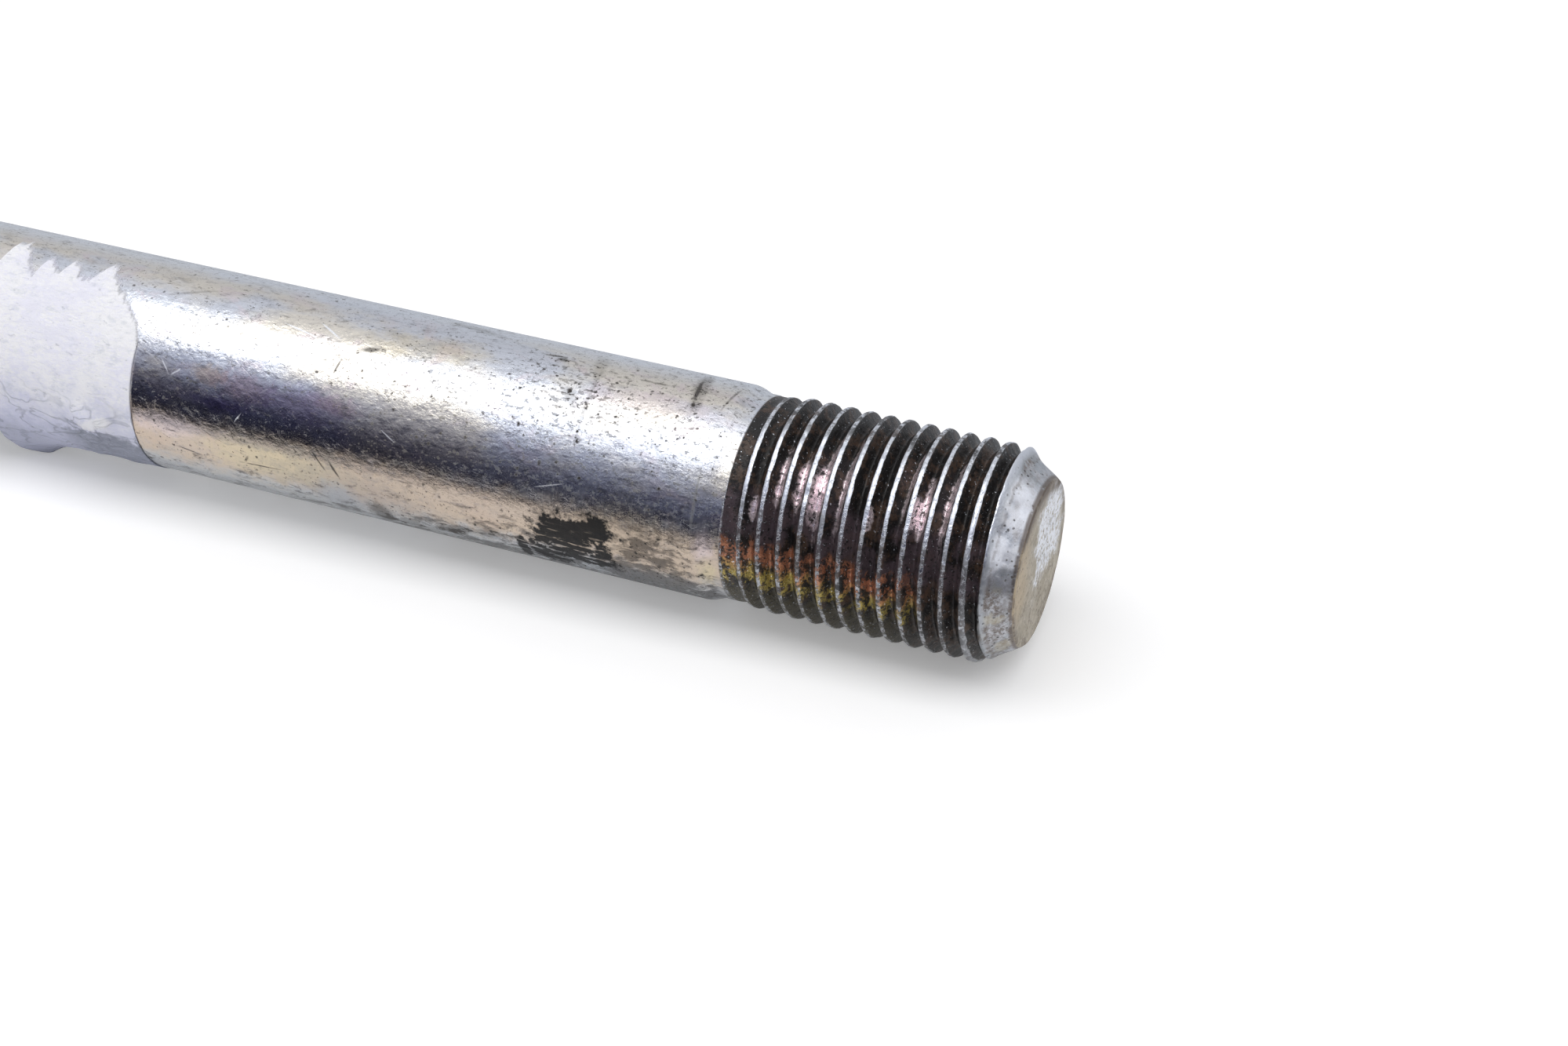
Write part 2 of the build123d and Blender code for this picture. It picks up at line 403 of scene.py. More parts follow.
# A number or vector that comes out of a shader node. Sums, products and so on between such
# values, or with plain numbers, add the Math nodes for them.
class Value:
    def __init__(self, desk, socket):
        self.desk, self.socket = desk, socket

    def math(self, operation, *others):
        return self.desk.math(operation, self, *others)

    def __add__(self, other):
        return self.math("ADD", other)

    __radd__ = __add__

    def __sub__(self, other):
        return self.math("SUBTRACT", other)

    def __rsub__(self, other):
        return self.desk.math("SUBTRACT", other, self)

    def __mul__(self, other):
        return self.math("MULTIPLY", other)

    __rmul__ = __mul__

    def __truediv__(self, other):
        return self.math("DIVIDE", other)

    def __abs__(self):
        return self.math("ABSOLUTE")

    def clamped(self):
        return self.math("MINIMUM", 1.0).math("MAXIMUM", 0.0)

    # 0 below low, 1 above high, and smooth between; high may be the smaller one
    def step(self, low, high):
        if high < low:
            return 1.0 - self.step(high, low)
        sockets = {"Value": self, "From Min": low, "From Max": high}
        return self.desk.add("ShaderNodeMapRange", {"interpolation_type": "SMOOTHSTEP"}, sockets)

    # 1 between low and high, fading over soft at each side
    def window(self, low, high, soft):
        return self.step(low - soft, low + soft) * self.step(high + soft, high - soft)


# The node tree of one material, or of the world, with the ways of adding nodes that all share.
class Desk:
    def __init__(self, owner):
        self.owner = owner
        owner.use_nodes = True
        self.tree = owner.node_tree
        self.tree.nodes.clear()

    # Any node: its type, its settings, then the values or links of its sockets
    def add(self, kind, settings=None, sockets=None, out=0):
        node = self.tree.nodes.new(kind)
        for name, setting in (settings or {}).items():
            if name == "stops":
                ramp = node.color_ramp
                while len(ramp.elements) < len(setting):
                    ramp.elements.new(0.5)
                for element, (place, colour) in zip(ramp.elements, setting):
                    element.position, element.color = place, (*colour, 1)
            else:
                setattr(node, name, setting)
        for name, value in (sockets or {}).items():
            socket = node.inputs[name]
            if isinstance(value, Value):
                self.tree.links.new(value.socket, socket)
            else:
                socket.default_value = value
        return Value(self, node.outputs[out]) if node.outputs else node

    def math(self, operation, *values):
        return self.add("ShaderNodeMath", {"operation": operation}, dict(enumerate(values)))

    def vector(self, operation, first, second):
        return self.add("ShaderNodeVectorMath", {"operation": operation}, {0: first, 1: second})

    # From one colour to another by a factor; 6, 7 and output 2 are the node's colour sockets
    def blend(self, factor, first, second):
        sockets = {"Factor": factor, 6: asColour(first), 7: asColour(second)}
        return self.add("ShaderNodeMix", {"data_type": "RGBA"}, sockets, out=2)

    def noise(self, place, scale, detail=3.0, rough=0.55, twist=0.0):
        sockets = {"Vector": place, "Scale": scale, "Detail": detail}
        sockets.update({"Roughness": rough, "Distortion": twist})
        return self.add("ShaderNodeTexNoise", {}, sockets)

    # Distance from the middle of the nearest random cell
    def cells(self, place, scale):
        return self.add("ShaderNodeTexVoronoi", {}, {"Vector": place, "Scale": scale})

    # Object coordinates in millimetres
    def place(self):
        metres = self.add("ShaderNodeTexCoord", out="Object")
        return self.vector("MULTIPLY", metres, (1 / mm, 1 / mm, 1 / mm))

    def stretched(self, place, x, y, z):
        return self.vector("MULTIPLY", place, (x, y, z))

    def split(self, place):
        node = self.tree.nodes.new("ShaderNodeSeparateXYZ")
        self.tree.links.new(place.socket, node.inputs[0])
        return [Value(self, output) for output in node.outputs]

    def joined(self, x, y, z=0.0):
        return self.add("ShaderNodeCombineXYZ", {}, {"X": x, "Y": y, "Z": z})

    def bump(self, height, strength, distance, normal=None):
        sockets = {"Height": height, "Strength": strength, "Distance": distance}
        if normal is not None:
            sockets["Normal"] = normal
        return self.add("ShaderNodeBump", {}, sockets)

    def finish(self, sockets):
        shader = self.add("ShaderNodeBsdfPrincipled", {}, {**sockets, "Specular IOR Level": 0.3})
        self.add("ShaderNodeOutputMaterial", {}, {"Surface": shader})
        return self.owner


# A plain colour gets its fourth number, which is 1.
def asColour(value):
    return value if isinstance(value, Value) else (*value, 1)


# The bolt's finish. Distances are millimetres back from the point, and sides are degrees round
# the bolt from its front: minus towards the top, plus towards the underside.
zincLook = {
    "zinc": (0.66, 0.69, 0.76),
    "straw": (0.74, 0.70, 0.63),
    # The next colour is a painted reflection: the floor mirrored along the shank's lower front side
    "peach": (0.52, 0.41, 0.31),
    "cream": (0.60, 0.52, 0.36),
    "pink": (0.70, 0.60, 0.64),
    "rose": (0.56, 0.38, 0.44),
    "violet": (0.36, 0.31, 0.54),
    "tan": (0.74, 0.62, 0.52),
    # The next colour is a haze on the chamfer and its ridge, and painted shade along the shank's
    # underside
    "haze": (0.42, 0.45, 0.49),
    # The next colour is a painted reflection along the top edge of the shank
    "rim": (0.76, 0.80, 0.87),
    "scraped": (0.90, 0.92, 0.97),
    "grime": (0.040, 0.035, 0.032),
    # The next colour is soot in the streaks, and painted shade in two of the shank's tints
    "soot": (0.20, 0.20, 0.23),
    "grease": (0.010, 0.011, 0.013),
    "muckBlack": (0.008, 0.007, 0.007),
    "muckBrown": (0.055, 0.034, 0.024),
    "muckPurple": (0.095, 0.070, 0.082),
    # The next colour is a painted highlight on the wiped turns of the thread
    "flare": (0.97, 0.82, 0.86),
    "copper": (0.50, 0.21, 0.12),
    "gold": (0.46, 0.36, 0.10),
    "olive": (0.048, 0.040, 0.018),
    "crest": (0.72, 0.75, 0.82),
    # The next colour is painted shade on the crests of the lower side
    "dullCrest": (0.40, 0.41, 0.44),
    "pointGrey": (0.54, 0.55, 0.59),
    # The next colour is a painted highlight on the chamfer
    "pointWhite": (0.88, 0.91, 1.00),
    # The next colour is stains, and also a painted shadow in the chamfer's hollow
    "stain": (0.15, 0.12, 0.10),
    "faceTan": (0.40, 0.355, 0.28),
    "facePale": (0.51, 0.465, 0.39),
    "faceWhite": (0.90, 0.93, 1.00),
    "honey": (0.56, 0.44, 0.29),
}

# Single marks on the shank: back from the point, side, half length, half width, turn in degrees
# from along the bolt, and how dark
shankMarks = [
    (50.8, -32, 0.75, 0.20, 14, 0.75),
    (52.8, -19, 0.62, 0.09, 82, 0.70),
    (64.8, 49.5, 0.80, 0.07, -10, 0.75),
    (58.3, 48.5, 1.40, 0.06, 3, 0.80),
    (59.5, 45.5, 0.35, 0.10, 60, 0.60),
    (53.2, 35, 0.75, 0.08, -55, 0.75),
    (51.9, 39, 0.65, 0.09, -60, 0.80),
    (37.6, -58, 0.85, 0.14, 6, 0.80),
    (36.8, -56, 0.40, 0.22, 0, 0.70),
    (30.0, -53, 0.50, 0.13, 0, 0.60),
    (28.9, -53, 0.60, 0.15, 4, 0.70),
    (25.9, -57, 0.55, 2.30, 8, 0.55),
    (26.0, -54, 0.16, 2.00, 10, 0.40),
    (23.4, -56, 0.10, 1.50, -6, 0.60),
    (23.3, 8, 0.10, 2.00, 0, 0.50),
    (33.2, -26, 0.14, 3.00, 4, 0.30),
    (33.9, -58, 0.50, 1.60, 14, 0.32),
    (34.6, -30, 0.50, 0.90, 40, 0.35),
    (48.8, 68, 0.90, 1.60, 10, 0.65),
    (46.6, 72, 1.20, 0.80, 30, 0.45),
    (42.8, 66, 1.70, 0.60, 24, 0.60),
    (39.6, 60, 0.90, 0.60, 10, 0.50),
    (67.0, -44, 1.60, 0.14, 24, 0.35),
    (44.5, -70, 2.20, 0.40, -12, 0.35),
]

# Bright scratches on the shank, in the same way but all as bright
brightScratches = [
    (56.9, -34.6, 1.30, 0.07, -12), (54.7, -38.6, 1.10, 0.07, -28), (34.4, 18, 1.10, 0.05, 18),
    (66.6, 2, 0.55, 0.06, -50), (65.6, 4, 0.45, 0.06, 38), (60.0, 21, 0.50, 0.05, 55),
    (47.5, 12, 0.60, 0.05, -30),
]

# Broad tints on the shank: back, side, half length, half width, colour and strength
shankTints = [
    (62.8, 2, 1.30, 0.70, "tan", 0.80),
    (59.6, 5, 2.60, 1.00, "rose", 0.55),
    (61.5, 16, 2.20, 0.55, "violet", 0.85),
    (55.0, 8, 3.20, 1.30, "violet", 0.55),
    (52.0, 3, 1.80, 0.60, "rose", 0.45),
    (57.0, 43, 5.50, 1.80, "cream", 0.75),
    (52.2, 62, 1.60, 1.80, "haze", 0.80),
    (66.6, 34, 3.00, 0.90, "pink", 0.50),
    # The next two dark tints are painted shade over the lower front band, where the shaded floor is
    # mirrored
    (51.0, 51, 6.50, 2.20, "soot", 0.34),
    (60.0, 32, 12.0, 0.60, "soot", 0.40),
    (22.4, 33, 0.70, 1.20, "pink", 0.60),
    (22.2, 52, 0.60, 1.30, "cream", 0.80),
    (47.0, -42, 4.00, 1.20, "cream", 0.45),
    (28.0, -38, 5.00, 1.00, "pink", 0.35),
]

# Old grease, as overlapping dabs: back, side, half length, half width
greaseDabs = [
    (33.4, 50, 2.5, 2.4), (31.0, 38, 1.5, 1.4), (34.8, 66, 1.7, 1.3), (31.3, 62, 1.9, 0.9),
    (37.0, 66, 0.45, 1.5), (30.4, 52, 0.8, 0.7),
]

# Turns of the thread that were wiped clean, in the same way; they carry a painted highlight in bright
# pink-white
wipedTurnsAndHighlights = [
    (17.6, -13, 0.28, 2.0), (16.1, -12, 0.30, 1.9), (14.9, -10, 0.38, 1.7), (14.5, -14, 0.28, 3.2),
    (13.0, -17, 0.24, 3.2), (8.5, -28, 0.18, 2.4), (7.6, -11, 0.30, 1.2), (7.15, -13, 0.28, 2.2),
    (5.5, -17, 0.26, 3.0), (19.1, 6, 0.25, 0.8), (10.7, -2, 0.20, 0.7),
]

# Stains on the chamfer, in the same way
coneStains = [
    (1.7, -66, 0.35, 1.10), (1.5, -44, 0.25, 0.50), (1.2, -30, 0.20, 0.35), (0.7, -12, 0.25, 0.70),
    (1.9, -22, 0.20, 0.80), (1.4, 30, 0.60, 1.30), (0.8, 44, 0.35, 1.40), (1.8, 56, 0.50, 1.20),
    (1.2, 72, 0.60, 1.20),
]


# Where a place on the bolt is: its position, back from the point, side, radius, and the skin
# unrolled flat; with a slow and a quick noise that the finishes share.
def boltPlaces(desk):
    at = SimpleNamespace(place=desk.place())
    x, at.y, at.z = desk.split(at.place)
    frontY, frontZ = math.cos(math.radians(frontAngle)), math.sin(math.radians(frontAngle))
    at.back = tipX - x
    sideways, ahead = at.z * frontY - at.y * frontZ, at.y * frontY + at.z * frontZ
    at.side = desk.math("ARCTAN2", sideways, ahead) * math.degrees(1)
    at.radius = desk.math("SQRT", at.y * at.y + at.z * at.z)
    at.flat = desk.joined(at.back, at.side * math.radians(shankRadius))
    at.wobble = desk.noise(at.place, 0.9, 4.0) - 0.5
    at.fleck = desk.noise(at.place, 2.4, 5.0, 0.7)
    return at


# An oval on the unrolled skin with a ragged edge: 1 inside and 0 outside
def oval(desk, at, back, side, halfLong, halfWide, turn=0.0, ragged=1.2, soft=0.5):
    centre = (back, side * math.radians(shankRadius), 0)
    shifted = desk.vector("SUBTRACT", at.flat, centre)
    if turn:
        angle = {"Vector": shifted, "Angle": math.radians(-turn)}
        shifted = desk.add("ShaderNodeVectorRotate", {"rotation_type": "Z_AXIS"}, angle)
    scaled = desk.vector("MULTIPLY", shifted, (1 / halfLong, 1 / halfWide, 0))
    reach = desk.add("ShaderNodeVectorMath", {"operation": "LENGTH"}, {0: scaled}, out=1)
    return (reach + at.wobble * ragged + (at.fleck - 0.5) * ragged).step(1.0 + soft, 1.0 - soft)


# All the ovals of a list, laid over each other
def dabs(desk, at, marks, ragged, soft=0.5):
    total = 0.0
    for mark in marks:
        total = oval(desk, at, *mark, ragged=ragged, soft=soft) + total
    return total.clamped()


# Fine straight scratches: the walls between long thin cells laid over the unrolled skin
def scratches(desk, at, turn, shift):
    angle = {"Vector": at.flat, "Angle": math.radians(turn)}
    turned = desk.add("ShaderNodeVectorRotate", {"rotation_type": "Z_AXIS"}, angle)
    cells = desk.vector("ADD", desk.stretched(turned, 0.10, 0.9, 1.0), (shift, shift, 0))
    toEdge = {"feature": "DISTANCE_TO_EDGE"}
    walls = desk.add("ShaderNodeTexVoronoi", toEdge, {"Vector": cells, "Scale": 1.0})
    return walls.step(0.030, 0.010) * desk.noise(cells, 2.3, 2.0).step(0.52, 0.62)


# Bare and passivated zinc, with dirt over it, and painted reflection and shade in bands along its top,
# lower front and underside
def shankFinish(desk, at):
    look = zincLook
    place, back = at.place, at.back
    onShank = back.step(tipX + 1.5, tipX - 0.5)
    side = onShank * (at.side + 40) - 40       # the head has one side's finish all round
    cloud = desk.noise(desk.stretched(place, 0.10, 0.22, 0.22), 1.0, 4.0)
    patch = desk.noise(desk.stretched(place, 0.30, 0.42, 0.42), 1.0, 5.0, 0.6, 0.8)
    skin = desk.blend(cloud.step(0.40, 0.60), look["zinc"], look["straw"])
    skin = desk.blend(patch.step(0.50, 0.66) * 0.45, skin, look["pink"])
    # Painted reflection: a warm tan band along the lower front side, where the floor is mirrored
    skin = desk.blend((side + at.wobble * 14).window(24, 62, 8) * 0.85, skin, look["peach"])
    # Painted reflection: a lighter blue-grey band along the top edge, seen at a grazing angle
    skin = desk.blend(side.window(-98, -64, 12) * 0.85, skin, look["rim"])
    # Painted shade: a darker blue-grey band along the underside, which faces the floor
    skin = desk.blend((side + at.wobble * 30).window(61, 120, 13) * 0.85, skin, look["haze"])
    for tintBack, tintSide, halfLong, halfWide, name, strength in shankTints:
        tint = oval(desk, at, tintBack, tintSide, halfLong, halfWide, ragged=1.5, soft=0.6)
        skin = desk.blend(tint * strength, skin, look[name])
    streak = desk.noise(desk.stretched(place, 1.0, 2.4, 2.4), 1.0, 7.0, 0.76)
    streak = streak.step(0.50, 0.64) * (0.30 + side.window(-12, 30, 8) * 0.35)
    skin = desk.blend(streak, skin, look["soot"])

    # Specks and pits everywhere, thickest towards the thread
    crowd = back.window(31, 39, 3) * side.window(-60, -8, 8) * 0.08 + back.step(58, 24) * 0.05
    sparse = (desk.noise(place, 0.26, 4.0, 0.6) + crowd).step(0.46, 0.60)
    ragged = (at.fleck - 0.5) * 1.1
    specks = (desk.cells(place, 1.3) + ragged * 0.7).step(0.20, 0.08) * sparse
    dust = (desk.cells(place, 2.9) + ragged * 0.6).step(0.22, 0.08)
    dust = dust * (desk.noise(place, 0.34, 4.0, 0.65) + crowd).step(0.44, 0.58)
    crumbs = desk.noise(desk.stretched(place, 2.2, 3.4, 3.4), 1.0, 4.0, 0.65) + crowd * 0.6
    crumbs = crumbs.step(0.60, 0.66) * (0.55 - side.step(20, 40) * 0.38)

    # Smears along the lower side and on both sides of the shoulder
    smearNoise = desk.noise(desk.stretched(place, 0.50, 1.2, 1.2), 1.0, 7.0, 0.74, 0.5)
    lowSide = (side + at.wobble * 44).window(62, 130, 22) * back.step(88, 48)
    nearThread = (side + at.wobble * 44).step(16, 40) * (back + at.wobble * 6).window(23.2, 30, 2.4)
    leftOfIt = (side + at.wobble * 44).step(26, 54) * (back + at.wobble * 8).window(30, 46, 5)
    smearReach = (lowSide * 0.15 + nearThread * 0.18 + leftOfIt * 0.07).clamped()
    smears = (smearNoise + smearReach).step(0.58, 0.74)
    upperSmudge = desk.noise(desk.stretched(place, 0.34, 0.7, 0.7), 1.0, 7.0, 0.74, 0.4).step(0.52, 0.70)
    smudges = upperSmudge * side.step(-30, -50) * 0.34
    marked = 0.0
    for markBack, markSide, halfLong, halfWide, turn, dark in shankMarks:
        marked = oval(desk, at, markBack, markSide, halfLong, halfWide, turn) * dark + marked
    dirt = (specks * 0.8 + dust * 0.65 + crumbs + smears * 0.72 + smudges + marked).clamped()

    breaks = desk.noise(desk.stretched(place, 0.55, 2.8, 2.8), 1.0, 3.0).step(0.57, 0.63)
    grease = dabs(desk, at, greaseDabs, 1.7, 0.22) * (1.0 - breaks * side.step(36, 52) * 0.8)
    scraped = dabs(desk, at, brightScratches, 0.5)
    colour = desk.blend(dirt, skin, look["grime"])
    colour = desk.blend(grease * 0.97, colour, look["grease"])
    colour = desk.blend(scraped * 0.9, colour, look["scraped"])
    metal = 1.0 - dirt * 0.55 - grease * 0.45 - scraped * 0.35
    dull = back.step(56, 28) * 0.08
    rough = 0.13 + desk.noise(place, 0.8, 4.0) * 0.13 + dull + dirt * 0.20 + grease * 0.26
    return colour, metal, rough, dirt + grease


# Bright worn crests, and grooves full of grease with passivation showing through it; with painted
# highlights on the wiped turns and painted shade on the crests of the lower side
def threadFinish(desk, at):
    look = zincLook
    place, back, side = at.place, at.back, at.side
    turn = (boltShape["crestFromPoint"] - back) / boltShape["pitch"] - (side + frontAngle) / 360 + 0.25
    away = abs(turn - desk.math("ROUND", turn))
    wear = desk.noise(desk.stretched(place, 1.6, 1.1, 1.1), 1.0, 5.0, 0.7)
    crestWidth = 0.104 + (wear - 0.5) * 0.13 + back.step(3.6, 2.6) * 0.10
    crest = (away - crestWidth).step(0.012, -0.020)
    sootOnTop = wear.step(0.42, 0.56) * side.window(-130, -42, 12) * 0.9
    sootBelow = desk.noise(place, 2.4, 4.0, 0.7).step(0.43, 0.53)
    sootBelow = sootBelow * (side + at.wobble * 20).step(-8, 16) * 0.85
    crest = crest * (1.0 - (sootOnTop + sootBelow).clamped() * back.step(2.3, 3.6))

    muckNoise = desk.noise(place, 0.85, 5.0, 0.65)
    groove = desk.blend(muckNoise.step(0.47, 0.60), look["muckBlack"], look["muckBrown"])
    middle = (side + at.wobble * 20).window(-2, 26, 6) * desk.noise(place, 0.5, 4.0).step(0.40, 0.56)
    groove = desk.blend(middle * 0.75, groove, look["muckPurple"])
    rusty = (side + at.wobble * 20).window(25, 54, 3) * (back + at.wobble * 3).step(5.6, 8.0)
    rusty = rusty * desk.noise(desk.stretched(place, 1.3, 0.8, 0.8), 1.0, 6.0, 0.76).step(0.46, 0.56)
    rust = desk.blend((side + at.wobble * 20).step(35, 47), look["copper"], look["gold"])
    groove = desk.blend(rusty * 0.82, groove, rust)
    lowest = (side + at.wobble * 16).step(54, 62) * back.step(6, 10)
    groove = desk.blend(lowest * 0.9, groove, look["olive"])
    patchy = desk.noise(desk.stretched(place, 3.2, 1.4, 1.4), 1.0, 4.0, 0.65).step(0.32, 0.44)
    # Painted highlight: the wiped turns get a bright pink-white colour; their cleaner metal and lower
    # roughness are real
    wipedAndHighlight = dabs(desk, at, wipedTurnsAndHighlights, 1.5) * patchy
    groove = desk.blend(wipedAndHighlight, groove, look["flare"])
    grit = desk.noise(place, 3.6, 4.0, 0.65).step(0.54, 0.61)
    groove = desk.blend(grit * 0.9, groove, look["muckBlack"])
    glint = desk.noise(place, 5.4, 2.0).step(0.68, 0.71)

    # Painted shade: the crests on the lower side get a darker colour
    bare = desk.blend(side.step(0, 20), look["crest"], look["dullCrest"])
    colour = desk.blend(crest, groove, bare)
    colour = desk.blend(glint * 0.7, colour, look["crest"])
    clean = (wipedAndHighlight + rusty * 0.7 + middle * 0.35).clamped() * (1.0 - grit)
    metal = (clean * 0.9 + glint * 0.7 + crest).clamped() * 0.90 + 0.04
    rough = 0.36 - clean * 0.16 - crest * 0.08
    return colour, metal, rough, muckNoise * (1.0 - crest) * (1.0 - wipedAndHighlight * 0.7) + grit * 0.25


# A dull chamfer with stains, a painted highlight across its upper front and a painted shadow in its
# hollow, and a pressed end face
def pointFinish(desk, at):
    look = zincLook
    place, back, side = at.place, at.back, at.side
    fine = desk.noise(place, 0.9, 5.0, 0.65)
    cone = desk.blend(fine.step(0.42, 0.60), look["pointGrey"], look["haze"])
    # Painted highlight: a bright white patch across the chamfer's upper front, made less metallic so
    # that it stays bright
    paintedConeHighlight = (side + at.wobble * 24).window(-48, 8, 8)
    paintedConeHighlight = paintedConeHighlight * desk.noise(place, 0.6, 4.0).step(0.28, 0.50)
    cone = desk.blend(paintedConeHighlight * 0.9, cone, look["pointWhite"])
    below = (side + at.wobble * 30).step(12, 34)
    stains = desk.noise(place, 1.2, 8.0, 0.80).step(0.44, 0.60) * (0.50 + below * 0.25)
    for stainBack, stainSide, halfLong, halfWide in coneStains:
        stain = oval(desk, at, stainBack, stainSide, halfLong, halfWide, ragged=2.2, soft=0.8)
        stains = stains + stain * at.fleck.step(0.36, 0.58) * 0.6
    stains = stains.clamped() * (1.0 - paintedConeHighlight * 0.45) * 0.85
    cone = desk.blend(stains, cone, look["stain"])
    cone = desk.blend(below * desk.noise(place, 0.45, 3.0).step(0.5, 0.6) * 0.35, cone, look["cream"])
    lip = (back + at.wobble * 0.5).step(1.75, 1.95)
    cone = desk.blend(lip * 0.65, cone, look["haze"])
    # Painted shadow: a thin dark line in the hollow behind the last crest
    paintedHollowShadow = (back + at.wobble * 0.5).window(1.58, 1.72, 0.12)
    paintedHollowShadow = paintedHollowShadow * desk.noise(place, 1.1, 4.0).step(0.36, 0.54)
    cone = desk.blend(paintedHollowShadow * 0.55, cone, look["stain"])
    ragged = (at.fleck - 0.5) * 0.8
    specks = (desk.cells(place, 2.3) + ragged).step(0.26, 0.10)
    specks = specks * desk.noise(place, 0.5, 3.0).step(0.36, 0.50)
    cone = desk.blend(specks * 0.85, cone, look["grime"])
    edge = back.window(0.06, 0.34, 0.10) * desk.noise(place, 0.7, 4.0, 0.65).step(0.36, 0.50)
    cone = desk.blend(edge * 0.85, cone, look["stain"])

    face = desk.blend(fine.step(0.42, 0.62), look["faceTan"], look["facePale"])
    face = desk.blend(at.y.step(-1.5, -4.5) * at.z.step(-3, 0) * 0.6, face, look["honey"])
    white = (at.y + at.wobble * 5).window(-0.6, 5.0, 0.7) * (at.z + at.wobble * 5).window(-1.6, 4.6, 0.8)
    face = desk.blend(white * at.fleck.step(0.34, 0.52), face, look["faceWhite"])
    pits = (desk.cells(place, 2.4) + ragged).step(0.24, 0.10)
    pits = pits * desk.noise(place, 0.6, 4.0).step(0.36, 0.50)
    blots = desk.noise(place, 1.3, 7.0, 0.76).step(0.50, 0.64) * (0.45 + at.z.step(1, -4) * 0.25)
    face = desk.blend((pits + specks * 0.6 + blots).clamped() * 0.8, face, look["stain"])
    ring = at.radius.step(5.0, 5.9) * desk.noise(place, 0.8, 4.0).step(0.40, 0.60) * 0.6
    ring = (ring + at.radius.step(4.2, 5.6) * at.z.step(3.2, 4.8) * 0.6).clamped()
    face = desk.blend(ring, face, look["stain"])

    onFace = back.step(0.16, 0.07)
    colour = desk.blend(onFace, cone, face)
    covered = (stains + specks).clamped() * 0.4 + paintedConeHighlight * 0.72
    metal = 0.86 - covered * (1.0 - onFace) - onFace * 0.66
    rough = 0.36 + fine * 0.10 + onFace * 0.14
    return colour, metal, rough, fine * 0.8 + specks * 0.3


# Shank, thread and point, one after the other along the bolt
def makeZinc():
    desk = Desk(bpy.data.materials.new("worn_zinc"))
    at = boltPlaces(desk)
    skin, skinMetal, skinRough, skinDirt = shankFinish(desk, at)
    thread, threadMetal, threadRough, threadMuck = threadFinish(desk, at)
    point, pointMetal, pointRough, pointRelief = pointFinish(desk, at)
    threadStart = boltShape["threadFromPoint"]
    onThread = at.back.step(threadStart - 0.04, threadStart - 0.18)
    onPoint = (at.back + at.wobble * 0.5).step(2.25, 1.85)
    colour = desk.blend(onPoint, desk.blend(onThread, skin, thread), point)

    def mixed(first, second, third):
        along = first + onThread * (second - first)
        return along + onPoint * (third - along)

    metal = mixed(skinMetal, threadMetal, pointMetal)
    rough = mixed(skinRough, threadRough, pointRough)

    # Relief: fine grain along the shank, brushing round it by the shoulder, and old scratches
    grain = desk.noise(desk.stretched(at.place, 1.8, 4.5, 4.5), 1.0, 5.0, 0.75)
    brush = desk.noise(desk.stretched(at.place, 9.0, 0.30, 0.30), 1.0, 3.0)
    brush = brush * at.back.window(21.5, 36, 6.0)
    scored = scratches(desk, at, 27, 31) + scratches(desk, at, -38, 47)
    grain = grain * (0.35 + at.back.step(62, 38) * 0.35)
    height = at.wobble * 2.4 + at.fleck * 0.75 + grain + brush * 1.2 - scored * 0.10 + skinDirt * 0.2
    normal = desk.bump(height, 0.7, 0.040 * mm)
    relief = threadMuck * onThread * (1.0 - onPoint) + pointRelief * onPoint * 0.5
    normal = desk.bump(relief, 0.6, 0.16 * mm, normal)
    sockets = {"Base Color": colour, "Metallic": metal, "Roughness": rough, "Normal": normal}
    return desk.finish(sockets)


paperLook = {
    "white": (0.96, 0.96, 1.00),
    "lavender": (0.89, 0.89, 1.00),
    # The next colour is painted shade on the paper's lower part
    "mist": (0.63, 0.65, 0.85),
    "grey": (0.30, 0.32, 0.39),
    "blueGrey": (0.50, 0.55, 0.64),
    "shadow": (0.26, 0.28, 0.34),
}


